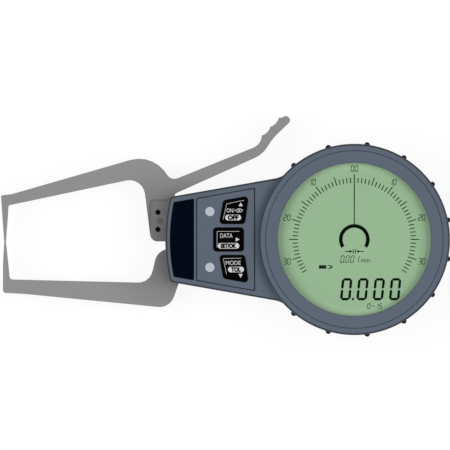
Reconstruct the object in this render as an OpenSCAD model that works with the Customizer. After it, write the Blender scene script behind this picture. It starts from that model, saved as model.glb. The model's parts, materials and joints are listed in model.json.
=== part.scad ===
// Digital caliper gauge: two long measuring arms in front of a sealed housing with a round display.
// The lower arm is fixed, the upper arm swings on ball bearings and is opened with its thumb lever.
// X runs along the gauge towards the display, Z out of the display; the origin is where the
// display axis meets the flat back.

/* [Housing] */
// Outer diameter of the round head
head_d = 70.2; // [67:0.1:80]
// Distance from the display axis to the end of the neck
neck_l = 69.4; // [66:0.1:80]
// Width of the neck at its end
neck_w = 30.6; // [29:0.2:36]
// Angle at which each side of the neck widens towards the head
neck_flare = 10; // [8:0.5:12]
// Radius of the fillet between the neck and the head
neck_fillet_r = 8; // [3:0.5:9]
// Thickness of the housing walls
wall_t = 2; // [1.8:0.1:2.4]
// Rounding of the outer housing edges
edge_r = 0.8; // [0.6:0.1:1.6]
// Width and height of the sealing cord between the shells
seal_w = 0.6; // [0.4:0.1:0.7]

/* [Display] */
// Width of the rim around the bezel ring
rim_w = 2.5; // [2.2:0.1:3]
// Width of the bezel ring seen from the front
bezel_w = 4.5; // [3.8:0.1:6]
// Thickness of the bezel ring's lip over the lens
bezel_lip_t = 1.2; // [1:0.1:2.4]
// Thickness of the clear lens
lens_t = 1.4; // [1.2:0.1:3]
// Thickness of the seal under the lens
lens_seal_t = 0.4; // [0.3:0.1:1]
// Thickness of the ledge that carries the lens
ledge_t = 0.9; // [0.8:0.1:2]
// Thickness of the liquid crystal panel
lcd_t = 1.8; // [1.4:0.1:3]
// Thickness of the light guide behind the panel
guide_t = 1.6; // [1.2:0.1:3]
// Thickness of the main circuit board
main_board_t = 1.6; // [1:0.1:2]

/* [Batteries] */
// Diameter of one cell
cell_d = 10.5; // [10:0.1:11]
// Length of one cell with its button
cell_l = 44.5; // [40:0.5:45]
// Room for a contact at each end of a cell
contact_room = 1.4; // [1.2:0.1:2]
// Thickness of the battery door
door_t = 1.5; // [1.2:0.1:2]
// Thickness of the door seal
door_seal_t = 0.3; // [0.2:0.1:0.6]

/* [Keys and plates] */
// Border between the edge of the neck and the plates on it
band_margin = 2.1; // [2:0.1:3]
// Length of the bare name plate at its middle
plate_l = 8.9; // [6:0.1:9.4]
// Thickness of the name plate
plate_t = 0.5; // [0.3:0.1:0.8]
// Width of the rib between the name plate and the key panel
rib_w = 0.8; // [0.6:0.1:2]
// Length of the key panel
panel_l = 21.6; // [20.6:0.1:23]
// Thickness of the key panel
panel_t = 2.4; // [1.6:0.1:3]
// Length of the middle key
mid_key_l = 10.9; // [9.6:0.1:12]
// Width of the middle key
mid_key_w = 8.5; // [7:0.1:9]
// Gap between neighbouring keys
key_gap = 1.6; // [1.5:0.1:2]
// Corner radius of the keys
key_r = 1.1; // [0.5:0.1:1.6]
// Height of the keys above the panel
key_proud = 0.8; // [0.4:0.1:1.6]
// Travel of a key
key_travel = 0.35; // [0.2:0.05:0.4]
// Diameter of an indicator light
indicator_d = 3.4; // [2.4:0.1:4]
// Thickness of the key board
key_board_t = 1.2; // [0.8:0.1:1.6]

/* [Arms] */
// Thickness of both measuring arms
arm_t = 5; // [4.4:0.1:6.4]
// Reach of the arms from the end of the neck to the measuring tips
arm_reach = 58.9; // [50:0.1:70]
// Height of the measuring contact against the middle line of the neck
contact_y = -0.92; // [-2:0.01:0]
// Clear height of the throat above the contact, at the tips
throat_up = 13.4; // [12:0.1:16]
// Clear depth of the throat below the contact, at the tips
throat_down = 13.8; // [12:0.1:16]
// Depth of the fixed arm at its tip
fixed_end_w = 4.9; // [3.6:0.1:6]
// Depth of the moving arm at its tip
moving_end_w = 3.7; // [2.6:0.1:5]
// Thickness of the moving arm where it laps over its carrier
lap_t = 2; // [1.6:0.1:2.2]
// Depth to which the lap is let in from the front
lap_step = 0.8; // [0.4:0.1:1]
// Length of the ribbed thumb grip on the lever
grip_l = 11.6; // [11:0.1:14]
// Distance between the ridges of the thumb grip
ridge_pitch = 4.4; // [3.6:0.1:4.6]
// Depth of the hollows between the ridges
hollow_depth = 0.3; // [0.1:0.05:0.6]

/* [Pivot] */
// Distance from the end of the neck to the pivot axis
pivot_inset = 7.7; // [7.4:0.1:9]
// Full swing of the moving arm in degrees
arm_swing = 13; // [8:0.5:13]
// Diameter of the pivot shaft
shaft_d = 4; // [3:0.1:4.4]
// Outer diameter of the ball bearings
bearing_d = 8; // [7.6:0.1:8.4]
// Width of the ball bearings
bearing_t = 2.5; // [2:0.1:2.6]
// Thickness of the chassis plate
chassis_t = 3; // [2.8:0.1:4]
// Height of the room for the closing spring between chassis and carrier
spring_room = 3; // [2.9:0.1:4]
// Wire diameter of the closing spring
wire_d = 0.6; // [0.4:0.05:0.7]

/* [Grip studs] */
// Diameter of a rubber grip stud
stud_d = 2; // [1.2:0.1:2.2]
// Length of a grip stud
stud_l = 18; // [12:0.5:20]
// Angle between neighbouring grip studs
stud_pitch = 23.5; // [20:0.5:25]
// Number of grip studs on each side of the long axis
stud_pairs = 6; // [3:1:6]

/* [Fits] */
// Clearance of a part that sits in a pocket, bore or hole
slip = 0.05; // [0.02:0.01:0.1]
// Clearance of a bearing seat
seat = 0.01; // [0.01:0.01:0.05]
// Clearance of a moving part beside a fixed one
run = 0.3; // [0.2:0.05:0.5]

/* [Hidden] */
$fn = 96;
eps = 0.01;
head_r = head_d / 2;
bezel_r = head_r - rim_w;
window_r = bezel_r - bezel_w;

// Heights in the neck, from the back up
z_chassis = wall_t + chassis_t;
z_arm = z_chassis + spring_room;
z_arm_top = z_arm + arm_t;
z_part = z_arm + arm_t / 2;
tongue_t = arm_t - lap_t - lap_step;
z_lap = z_arm + tongue_t;
sector_t = 0.6;
shoulder_h = 0.3;
z_bridge = z_lap + sector_t + 2 * run;
bridge_lip_t = 0.5;
bridge_t = bearing_t + bridge_lip_t;
z_key_board = z_bridge + bridge_t + 0.4;
z_key_board_top = z_key_board + key_board_t;
dome_h = 0.5;
plunger_h = 0.6;
key_flange_t = 0.8;
key_flange_w = 0.6;
z_key = z_key_board_top + dome_h + plunger_h;
z_panel = z_key + key_flange_t + 0.1;
neck_h = z_panel + panel_t;
panel_ledge_t = 1.2;
panel_ledge_w = 1.6;
panel_gap = 0.34;
panel_r = 0.4;

// Heights in the head, from the back up
z_seat = door_t + door_seal_t;
seat_t = 1.6;
z_cell = z_seat + 0.6;
roof_t = 1;
z_roof = z_cell + cell_d + 0.2;
z_main = z_roof + roof_t;
z_guide = z_main + main_board_t + 0.8;
z_lcd = z_guide + guide_t;
z_ledge = z_lcd + lcd_t + 0.2;
z_lens_seal = z_ledge + ledge_t;
z_lens = z_lens_seal + lens_seal_t;
z_lip = z_lens + lens_t;
head_h = z_lip + bezel_lip_t;
lens_r = (window_r + bezel_r) / 2;
lcd_r = window_r + 0.6;
frame_w = 2.2;
joint_c = 0.2;

// Screws: shank, head and head height
fine_screw = [1.3, 1.8, 1];
small_screw = [2, 3.8, 1.3];
door_screw = [2, 3.8, 0.9];

// Corner rounding and other outline helpers
function unit(v) = v / norm(v);
function on(v, a) = [v * cos(a), v * sin(a)];
function corner(a, b, c, r, n) =
    let(u = unit(a - b), v = unit(c - b), half = acos(u * v) / 2,
        mid = b + unit(u + v) * r / sin(half), start = b + u * r / tan(half) - mid,
        turn = sign(u[0] * v[1] - u[1] * v[0]) * -(180 - 2 * half), from = atan2(start[1], start[0]))
    [for (k = [0:n]) mid + on(r, from + turn * k / n)];
function xy(p) = [p[0], p[1]];
function rounded(pts, n = 6) =
    let(m = len(pts))
    [for (i = [0:m - 1]) each pts[i][2] > 0
        ? corner(xy(pts[(i + m - 1) % m]), xy(pts[i]), xy(pts[(i + 1) % m]), pts[i][2], n)
        : [xy(pts[i])]];
function bow(p, q, depth, n = 8) =
    let(half = norm(q - p) / 2, r = (half * half + depth * depth) / (2 * depth),
        side = [p[1] - q[1], q[0] - p[0]] / (2 * half), mid = (p + q) / 2 + side * (r - depth),
        from = atan2(p[1] - mid[1], p[0] - mid[0]), sweep = 2 * asin(half / r))
    [for (k = [1:n - 1]) mid + on(r, from + sweep * k / n)];
function flipped(pts) = [for (i = [len(pts) - 1:-1:0]) [pts[i][0], -pts[i][1]]];

// Half width of the neck at a distance x from its end, drawn in by d
function side_y(x, d = 0) = neck_w / 2 + x * tan(neck_flare) - d / cos(neck_flare);
end_r = 1;
head_bite = 0.2;
function neck_outline(d = 0) =
    let(run_dir = on(1, neck_flare), out_dir = on(1, neck_flare + 90), base = [-neck_l, side_y(0, d)],
        b = base * run_dir, r_end = neck_l - d,
        tip = base + run_dir * (-b - sqrt(b * b - base * base + r_end * r_end)),
        tip_a = atan2(tip[1], tip[0]), first = on(r_end, tip_a + (180 - tip_a) / 4),
        f0 = [-neck_l, side_y(0)] + out_dir * neck_fillet_r, reach = head_r - head_bite + neck_fillet_r,
        fb = f0 * run_dir, centre = f0 + run_dir * (-fb - sqrt(fb * fb - f0 * f0 + reach * reach)),
        fa = neck_flare - 90, fb_a = atan2(-centre[1], -centre[0]),
        side_end = centre + on(neck_fillet_r + d, fa),
        upper = concat([on(head_r - 3 * wall_t, atan2(centre[1], centre[0]))],
            [for (k = [6:-1:0]) centre + on(neck_fillet_r + d, fa + (fb_a - fa) * k / 6)],
            corner(side_end, tip, first, end_r - d / 2, 5),
            [for (k = [1:3]) on(r_end, tip_a + (180 - tip_a) * k / 4)]))
    concat(upper, [[-r_end, 0]], flipped(upper));

// Outline of a plate let into the neck between x0 and x1 from its end, drawn in by d
function panel_outline(x0, x1, d, r) = rounded([
    [x1 - d, -side_y(x1 - d, band_margin + d), r], [x1 - d, side_y(x1 - d, band_margin + d), r],
    [x0 + d, side_y(x0 + d, band_margin + d), r], [x0 + d, -side_y(x0 + d, band_margin + d), r]], 4);
plate_x = band_margin - 0.4;
panel_x = plate_x + plate_l + rib_w;
panel_end = panel_x + panel_l;

// Keys, in the neck's end frame
key_clear = 0.2;
key_edge_r = 0.4;
key_margin = 2.7;
mid_key_x = panel_x + 6.4;
key_foot = mid_key_w / 2 + key_gap;
key_foot_x = [mid_key_x + 2.2, mid_key_x + mid_key_l + 0.4];
key_head_x = [mid_key_x + 3.7, mid_key_x + mid_key_l + 1.7];
function key_top(x) = side_y(x, band_margin + key_margin);
mid_key_corners = [[mid_key_x, -mid_key_w / 2], [mid_key_x + mid_key_l, -mid_key_w / 2],
    [mid_key_x + mid_key_l, mid_key_w / 2], [mid_key_x, mid_key_w / 2]];
end_key_corners = [[key_foot_x[0], key_foot], [key_foot_x[1], key_foot],
    [key_head_x[1], key_top(key_head_x[1])], [key_head_x[0], key_top(key_head_x[0])]];
key_mid = [mid_key_x + mid_key_l / 2, 0];
end_key_mid = [(key_foot_x[0] + key_head_x[1]) / 2, (key_foot + key_top(key_head_x[0])) / 2];
function grown(pts, d) =
    let(m = len(pts), c = [for (i = [0:m - 1]) let(a = unit(pts[i] - pts[(i + m - 1) % m]),
        b = unit(pts[(i + 1) % m] - pts[i]), turn = acos(a * b))
        pts[i] + unit(a - b) * d / cos(turn / 2)]) c;
function with_r(pts, r) = [for (p = pts) [p[0], p[1], r]];
indicator_at = [panel_x + 5, key_foot + 4.4];
led_size = [1.6, 1.2, 0.7];
board_posts = [[panel_x + 1.3, -7.5], [panel_end - 0.7, 9], [panel_end - 0.7, -9]];

// Pivot and what swings on it, in the neck's end frame
pivot = [pivot_inset, 0];
hub_r = bearing_d / 2 + 0.2;
hub_plate_r = hub_r + 1.8;
ring_w = (bearing_d - shaft_d) / 2 * 0.35;
ball_orbit = (bearing_d + shaft_d) / 4;
ball_r = (bearing_d - shaft_d) / 2 * 0.26;
bridge_pad_r = bearing_d / 2 + 0.9;
tail_a = [4, 26];
tail_r = hub_plate_r + 3.5;
sector_r = tail_r + 4;
head_gap = 0.7;
stop_r = 1;
stop_orbit = hub_plate_r + 1.6;
stop_a = tail_a[0] - arm_swing - asin((stop_r + slip) / stop_orbit);
stop_at = pivot + on(stop_orbit, stop_a);
pillar_r = 3;
pillars = [pivot + [8.5, 10.5], pivot + [sector_r + 2 * pillar_r, -4]];
relief_r = hub_plate_r + 0.5;
bridge_screw_in = 5;

// Closing spring: a coil round the hub, with one leg on the chassis and one on the carrier
coil_r = hub_r + wire_d / 2 + 0.45;
coil_turns = 1.7;
coil_pitch = (spring_room - wire_d - 0.6) / coil_turns;
leg_l = 5;
z_coil = z_chassis + wire_d / 2 + 0.3;
coil_from = 30;
coil_to = coil_from - 360 * coil_turns;
spring_pin_r = 0.6;
chassis_leg_end = pivot + on(coil_r, coil_from) + on(leg_l, coil_from + 90);
carrier_leg_end = pivot + on(coil_r, coil_to) + on(leg_l, coil_to - 90);
spring_post_at = chassis_leg_end + on(spring_pin_r + wire_d / 2 + slip, coil_from) - on(1, coil_from + 90);
spring_pin_at = carrier_leg_end + on(spring_pin_r + wire_d / 2 + slip, coil_to) - on(1, coil_to - 90);

// Lap joint between the moving arm and its carrier
lap_end_x = 1.2;
lap_top_y = 14.6;
lap_side_x = -5.8;
tongue_x = -3.6;
tongue_y = [0.6, 13.2];
arm_screws_at = [[-2.7, 3.68], [-2.7, 9.96]];
arm_dowel_at = [-1.9, 6.84];
arm_dowel_d = 2.1;

// Tips of the two arms
tip_x = -arm_reach;
tip_w = 0.6;
tip_gap = 0.06;
moving_inner_y = contact_y + throat_up;
fixed_inner_y = contact_y - throat_down;

// Thumb lever: the grip lies along its own slanting line through the ridges
grip_a = 46;
first_ridge = [35.6, 38.2];
function grip(u, v) = first_ridge + on(u, grip_a) + on(v, grip_a + 90);
ridge_r = 0.5;
ridge_lift = 0.08;
ridges = [for (i = [0:2]) [for (a = [60:-30:-60])
    grip(i * ridge_pitch, ridge_lift - ridge_r) + on(ridge_r, grip_a + 90 + a)]];
grip_dip = grip(2 * ridge_pitch + 1, -0.62);
grip_end_y = [-1.25, -3.95];
grip_end = [for (v = grip_end_y) grip(grip_l, v)];
grip_end_r = 1.4;
lever_start = [32.35, 33.74];
lever_hollow = 0.7;
lever_notch = [1.8, 21.4, 3.2];
lever_bend = [35.9, 31.3, 11.3];
lever_foot = [3.5, 16.79, 1];
grip_bend = [39.53, 37.19, 20];

// Shoulder, throat corner and lap foot of the moving arm, and the slim noses of both arms
shoulder = [-3.38, 31.94, 11.7];
throat_corner = [-8.25, 22.95, 5.75];
lap_foot = [-5.28, -0.74, 2.7];
nose_l = [9.8, 8.2];
nose_front = [1, 0.75];
nose_back = [1.05, 1.2];
nose_root = [1.25, 1.7];
nose_r = 6;
crown_l = 2.6;
crown_h = 0.5;

moving_arm_outline = concat(
    rounded([[tip_x + tip_w / 2, contact_y + tip_gap / 2, 0],
        [tip_x - tip_w / 2, contact_y + tip_gap / 2, 0],
        [tip_x - nose_front[0], contact_y + nose_l[0], nose_r],
        [tip_x - nose_front[0] - 0.5, moving_inner_y + moving_end_w, 0.5],
        [tip_x + crown_l, moving_inner_y + moving_end_w + crown_h, 3],
        shoulder, lever_notch, [lever_start[0], lever_start[1], 0]]),
    bow(lever_start, ridges[0][0], lever_hollow),
    [for (i = [0:1]) each concat(ridges[i],
        bow(ridges[i][len(ridges[i]) - 1], ridges[i + 1][0], hollow_depth))],
    ridges[2],
    rounded([[grip_dip[0], grip_dip[1], 0], [grip_end[0][0], grip_end[0][1], grip_end_r],
        [grip_end[1][0], grip_end[1][1], grip_end_r], grip_bend, lever_bend, lever_foot,
        [lever_foot[0], lap_top_y - 0.6, 0], [lap_end_x, lap_top_y - 3, 0],
        [lap_end_x, lap_foot[1], 0.3], lap_foot, throat_corner,
        [tip_x + nose_root[0], moving_inner_y, 0.8],
        [tip_x + nose_back[0], contact_y + nose_l[0], 0]]));

root_l = 18;
root_gap = 0.45;
root_waist = 5.8;
root_y = [-3.4, -7.6];
throat_end = [-5.72, fixed_inner_y - 1.25, 5.4];
throat_rise = [-2.75, root_y[0], 5.5];
heel = [1.66, -25.26, 5.5];
fixed_arm_outline = rounded([
    [tip_x - tip_w / 2, contact_y - tip_gap / 2, 0],
    [tip_x + tip_w / 2, contact_y - tip_gap / 2, 0],
    [tip_x + nose_back[1], contact_y - nose_l[1], nose_r],
    [tip_x + nose_root[1], fixed_inner_y, 1.2],
    throat_end, throat_rise, [2, root_y[0], 0], [root_l, root_y[1], 1.5],
    [root_l, -side_y(root_l, wall_t + root_gap), 1.5],
    [root_waist, -side_y(root_waist, wall_t + root_gap), 0.8], heel,
    [tip_x + 7, fixed_inner_y - fixed_end_w - 0.4, 8],
    [tip_x - nose_front[1], fixed_inner_y - fixed_end_w, 1.1],
    [tip_x - nose_front[1], contact_y - nose_l[1], nose_r]]);
fixed_screws_at = [for (p = [[9, 5.65], [15.2, 7.65]]) [p[0], -side_y(p[0], p[1])]];
fixed_dowels_at = [for (p = [[5, 7.25], [12.4, 8.95]]) [p[0], -side_y(p[0], p[1])]];
chassis_end = pillars[1][0] + pillar_r + 1;
chassis_screws_at = [[5, side_y(5, 6.1)], [20, side_y(20, 6.5)], [27, -side_y(27, 7.7)]];

// Bearings, shaft clip and display connector
bearing_z = [z_chassis - bearing_t, z_bridge];
clip_t = 0.4;
link_half = [8, 0.8];
link_y = 2.3 - lcd_r;

// Sealing cord, drawn in from the outside of the housing
seal_in = wall_t - 0.3 - seal_w;

// Slot in the end of the neck for both arms
slot_h = [z_arm - run, z_arm_top + run];
slot_side = [10, 7];

// Battery box and door, on the display axis
box_half = [cell_d + 0.5, cell_l / 2 + contact_room];
box_wall = 1.2;
door_land = 1.4;
door_screw_y = box_half[1] + box_wall + door_screw[1] / 2;
door_half = [box_half[0] + door_land, door_screw_y + door_screw[1] / 2 + 0.7];
door_r = 3;

cell_x = cell_d / 2 + 0.15;
contact_sheet = 0.4;
contact_size = [7.2, 8];
contact_cone = [5.2, 2.8];
z_cell_mid = z_cell + cell_d / 2;

// Screw posts
post_r = 2.4;
post_in = wall_t + post_r - 0.5;
neck_post_x = panel_end + 1.8;
housing_posts = [on(head_r - post_in, 45), on(head_r - post_in, -45),
    [neck_post_x - neck_l, side_y(neck_post_x, post_in)],
    [neck_post_x - neck_l, -side_y(neck_post_x, post_in)]];
z_post_top = z_main + main_board_t - 0.2;
board_r = head_r - wall_t - 0.4;
key_board_end = panel_end + 0.9 - neck_l;
link_gap = 1;
main_edge = min(board_r, -key_board_end - link_gap);
strip_w = 8;
strip_t = 0.25;
board_screws_at = [on(board_r - 7, 0), on(board_r - 7, 147), on(board_r - 7, -147)];
board_screw_l = 4;

stud_orbit = head_r - 0.1;
stud_c = 0.4;
stud_lift = 2;
stud_z = (z_lip - stud_l) / 2 + stud_lift;
stud_angles = [for (i = [0:stud_pairs - 1], s = [-1, 1]) s * (i + 0.5) * stud_pitch];

body_grey = "#5f6978";
arm_grey = "#8f8f8f";
steel = "#a8abad";
key_black = "#1c1c1e";

// Building blocks
module at_end() { translate([-neck_l, 0, 0]) children(); }
module prism(pts, z0, z1) { translate([0, 0, z0]) linear_extrude(z1 - z0) polygon(pts); }
module disc(r, z0, z1, at = [0, 0]) { translate([at[0], at[1], z0]) cylinder(r = r, h = z1 - z0); }
module ring(r_in, r_out, z0, z1, at = [0, 0]) {
    difference() {
        disc(r_out, z0, z1, at);
        disc(r_in, z0 - eps, z1 + eps, at);
    }
}
module block(x, y, z) { translate([x[0], y[0], z[0]]) cube([x[1] - x[0], y[1] - y[0], z[1] - z[0]]); }
module loft(rings) {
    n = len(rings[0][0]);
    last = len(rings) - 1;
    polyhedron([for (r = rings, p = r[0]) [p[0], p[1], r[1]]],
        concat([[for (i = [0:n - 1]) i]], [[for (i = [n - 1:-1:0]) last * n + i]],
            [for (k = [0:last - 1], i = [0:n - 1])
                [k * n + i, (k + 1) * n + i, (k + 1) * n + (i + 1) % n, k * n + (i + 1) % n]]));
}
module screw(size, l, at, z) {
    disc(size[1] / 2, z - size[2], z, at);
    disc(size[0] / 2, z - l, z - size[2] + eps, at);
}
module screw_hole(size, l, at, z) {
    disc(size[1] / 2 + slip, z - size[2] - slip, z + 1, at);
    disc(size[0] / 2 + slip, z - l, z, at);
}
function box_pts(half, r) = rounded([[half[0], -half[1], r], [half[0], half[1], r],
    [-half[0], half[1], r], [-half[0], -half[1], r]], 5);
function arc_pts(r, a0, a1, n = 10) = [for (k = [0:n]) on(r, a0 + (a1 - a0) * k / n)];
function sector_pts(r0, r1, a0, a1) = concat(arc_pts(r1, a0, a1), arc_pts(r0, a1, a0));
function edge_rings(n = 5) = [for (k = [0:n]) edge_r * [1 - sin(90 * k / n), 1 - cos(90 * k / n)]];

// Housing
module head_block(z0, z1, low, high) {
    arc = edge_rings();
    foot = low ? [for (e = arc) [head_r - e[0], z0 + e[1]]] : [[head_r, z0]];
    rim = high ? [for (k = [len(arc) - 1:-1:0]) [head_r - arc[k][0], z1 - arc[k][1]]] : [[head_r, z1]];
    rotate_extrude() polygon(concat([[0, z0]], foot, rim, [[0, z1]]));
}
module arm_slot() {
    far = neck_w;
    at_end() {
        block([-far, wall_t + 2.4], [-far, far], slot_h);
        block([-far, slot_side[0]], [neck_w / 4, far], slot_h);
        block([-far, slot_side[1]], [-far, -neck_w / 4], slot_h);
    }
}
module housing_area(d, z0, z1) {
    prism(neck_outline(d), z0, z1);
    disc(head_r - d, z0, z1);
}
module seal_ring(d0, d1, z0, z1) {
    difference() {
        housing_area(d0, z0, z1);
        housing_area(d1, z0 - eps, z1 + eps);
        arm_slot();
    }
}
module seal_groove() {
    seal_ring(seal_in - slip, seal_in + seal_w + slip, z_part - seal_w / 2, z_part + seal_w / 2);
}
module stud(grow) {
    c = stud_c;
    r = stud_d / 2 + grow;
    rotate_extrude() polygon([[0, -grow], [r - c, -grow], [r, c - grow],
        [r, stud_l - c + grow], [r - c, stud_l + grow], [0, stud_l + grow]]);
}
module studs(grow = 0) {
    for (a = stud_angles) translate([stud_orbit * cos(a), stud_orbit * sin(a), stud_z]) stud(grow);
}
module rear_shell() {
    color(body_grey) difference() {
        union() {
            difference() {
                union() {
                    loft(concat([for (e = edge_rings()) [neck_outline(e[0]), e[1]]],
                        [[neck_outline(), z_part]]));
                    head_block(0, z_part, true, false);
                }
                housing_area(wall_t, wall_t, z_part + eps);
                arm_slot();
            }
            prism(box_pts(door_half + [1.2, 1.2], door_r + 1.2), wall_t - eps, z_seat + seat_t);
            prism(box_pts(box_half + [box_wall, box_wall], 2), wall_t - eps, z_main);
            for (at = housing_posts) disc(post_r, wall_t - eps, z_part, at);
            for (at = board_screws_at) disc(post_r - 0.4, wall_t - eps, z_main, at);
            for (s = [-1, 1]) disc(post_r, z_seat, z_seat + seat_t + 4, [0, s * door_screw_y]);
        }
        prism(box_pts(door_half, door_r), -eps, z_seat);
        prism(box_pts(box_half, 0.8), -eps, z_roof);
        for (s = [-1, 1]) disc(door_screw[0] / 2 + slip, 0, z_seat + seat_t + 3, [0, s * door_screw_y]);
        for (at = housing_posts) {
            disc(small_screw[1] / 2 + slip, -eps, small_screw[2] + 1, at);
            disc(small_screw[0] / 2 + slip, 0, z_part + eps, at);
        }
        for (at = board_screws_at) disc(fine_screw[0] / 2 + slip, z_main - board_screw_l, z_main + eps, at);
        at_end() for (at = chassis_screws_at) {
            disc(small_screw[1] / 2 + slip, -eps, small_screw[2] + slip, at);
            disc(small_screw[0] / 2 + slip, 0, wall_t + 1, at);
        }
        studs(slip);
        seal_groove();
    }
}
module plate_area(d, z0, z1) {
    intersection() {
        at_end() prism(panel_outline(-plate_x, plate_x + plate_l, d, 0.4), z0, z1);
        disc(neck_l - plate_x - d, z0 - 1, z1 + 1);
    }
}
module panel_ledge() {
    difference() {
        prism(panel_outline(panel_x, panel_end, -1.2, 1.6), z_panel - panel_ledge_t, z_panel + 0.2);
        prism(panel_outline(panel_x, panel_end, panel_ledge_w, 0.8), z_part, neck_h);
    }
}
module front_shell() {
    color(body_grey) difference() {
        union() {
            difference() {
                union() {
                    arc = edge_rings();
                    loft(concat([[neck_outline(), z_part]], [for (k = [len(arc) - 1:-1:0])
                        [neck_outline(arc[k][0]), neck_h - arc[k][1]]]));
                    head_block(z_part, head_h, false, true);
                }
                prism(neck_outline(wall_t), z_part - eps, z_panel);
                disc(head_r - wall_t, z_part - eps, z_ledge);
                arm_slot();
            }
            at_end() panel_ledge();
            for (at = housing_posts) disc(post_r, z_part, z_post_top, at);
            at_end() for (at = board_posts) disc(1.4, z_key_board_top, z_panel, at);
        }
        disc(window_r + 0.5, z_ledge - eps, head_h);
        rotate_extrude() polygon([[0, z_lens_seal], [bezel_r, z_lens_seal], [bezel_r, head_h - joint_c],
            [bezel_r + joint_c + eps, head_h + eps], [0, head_h + eps]]);
        at_end() {
            prism(panel_outline(panel_x, panel_end, 0, panel_r), z_panel, neck_h + eps);
            for (at = board_posts) disc(fine_screw[0] / 2 + slip, z_part, z_key_board_top + 1.6, at);
        }
        plate_area(0, neck_h - plate_t, neck_h + eps);
        for (at = housing_posts) disc(small_screw[0] / 2 + slip, z_part - eps, z_post_top - 0.8, at);
        studs(slip);
        seal_groove();
    }
}
module shell_seal() {
    color("#141414")
        seal_ring(seal_in, seal_in + seal_w, z_part - seal_w / 2 + slip, z_part + seal_w / 2 - slip);
}
module housing_screws() {
    color(steel) for (at = housing_posts) mirror([0, 0, 1]) screw(small_screw, z_post_top - 2, at, -1);
}
module grip_studs() { color("#111111") studs(); }

// Plates and keys on the neck
module name_plate() { color("#060d1a") plate_area(slip, neck_h - plate_t, neck_h); }
function key_outline(pts, grow = 0) = rounded(with_r(grown(pts, grow), key_r + grow), 5);
module key_opening(pts, grow, z0, z1) { prism(key_outline(pts, grow), z0, z1); }
module key_panel() {
    color(body_grey) at_end() difference() {
        prism(panel_outline(panel_x, panel_end, panel_gap, panel_r), z_panel, neck_h);
        key_opening(mid_key_corners, key_clear, z_panel - eps, neck_h + eps);
        for (s = [0, 1]) mirror([0, s, 0]) {
            key_opening(end_key_corners, key_clear, z_panel - eps, neck_h + eps);
            disc(indicator_d / 2 + slip, z_panel - eps, neck_h + eps, indicator_at);
        }
    }
}
module key_shape(pts, mid) {
    color(key_black) {
        loft(concat([[key_outline(pts), z_key]], [for (a = [0, 30, 60, 90])
            [key_outline(pts, key_edge_r * (cos(a) - 1)), neck_h + key_proud - key_edge_r * (1 - sin(a))]]));
        key_opening(pts, key_flange_w, z_key, z_key + key_flange_t);
        disc(1.5, z_key - plunger_h + seat, z_key + eps, mid);
    }
}
module power_key() { at_end() key_shape(end_key_corners, end_key_mid); }
module data_key() { at_end() key_shape(mid_key_corners, key_mid); }
module mode_key() { at_end() mirror([0, 1, 0]) key_shape(end_key_corners, end_key_mid); }
module key_dome(at) {
    color(steel) at_end() translate([at[0], at[1], z_key_board_top]) cylinder(r1 = 2.3, r2 = 1.2, h = dome_h);
}
module power_dome() { key_dome(end_key_mid); }
module data_dome() { key_dome(key_mid); }
module mode_dome() { key_dome([end_key_mid[0], -end_key_mid[1]]); }
module indicator_lenses() {
    color("#c4c9cc") at_end() for (s = [0, 1]) mirror([0, s, 0]) {
        disc(indicator_d / 2, z_panel - 0.8, neck_h, indicator_at);
        disc(indicator_d / 2 + 0.4, z_panel - 0.8, z_panel, indicator_at);
    }
}
module indicator_leds() {
    half = led_size / 2;
    color("#e8e4c8") at_end() for (s = [-1, 1]) translate([indicator_at[0], s * indicator_at[1], 0])
        block([-half[0], half[0]], [-half[1], half[1]], [z_key_board_top, z_key_board_top + led_size[2]]);
}
module key_board() {
    half = side_y(panel_x, wall_t + 1.8);
    color("#1f6b3a") at_end() difference() {
        translate([(panel_x + panel_end) / 2 + 0.6, 0, 0])
            prism(box_pts([panel_l / 2 + 0.3, half], 1), z_key_board, z_key_board_top);
        for (at = board_posts) disc(fine_screw[0] / 2 + slip, z_key_board - eps, z_key_board_top + eps, at);
    }
}
module key_board_screws() {
    color(steel) at_end() for (at = board_posts) translate([0, 0, z_key_board - fine_screw[2]])
        mirror([0, 0, 1]) screw(fine_screw, fine_screw[2] + key_board_t + 1.4, at, 0);
}
module board_link() {
    x = [key_board_end - 1.4, key_board_end + 0.2, 0.1 - main_edge, 1 - main_edge];
    z = [z_key_board_top, z_key_board_top, z_main + main_board_t, z_main + main_board_t];
    color("#a8742a") rotate([90, 0, 0]) linear_extrude(strip_w, center = true)
        polygon(concat([for (i = [0:3]) [x[i], z[i]]], [for (i = [3:-1:0]) [x[i], z[i] + strip_t]]));
}

// Display
module bezel_ring() {
    color(body_grey) rotate_extrude() polygon([[lens_r + slip, z_lens_seal], [bezel_r - slip, z_lens_seal],
        [bezel_r - slip, head_h - joint_c], [bezel_r - slip - joint_c, head_h], [window_r + 0.3, head_h],
        [window_r, head_h - 0.3], [window_r, z_lip], [lens_r + slip, z_lip]]);
}
module display_lens() { color("#dfe8e4", 0.4) disc(lens_r, z_lens, z_lip); }
module lens_seal() { color("#141414") ring(window_r + 0.6, lens_r, z_lens_seal, z_lens); }
module lcd_panel() {
    color("#98ba93") difference() {
        disc(lcd_r, z_lcd, z_lcd + lcd_t);
        block([-lcd_r, lcd_r], [-2 * lcd_r, 0.3 - lcd_r], [z_lcd + lcd_t / 2, z_lcd + lcd_t + 1]);
    }
}
module light_guide() {
    color("#eef2ee") difference() {
        disc(lcd_r - slip, z_guide, z_lcd);
        block([-lcd_r, lcd_r], [-2 * lcd_r, link_y + link_half[1] + run], [z_guide - 1, z_lcd + 1]);
    }
}
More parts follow.
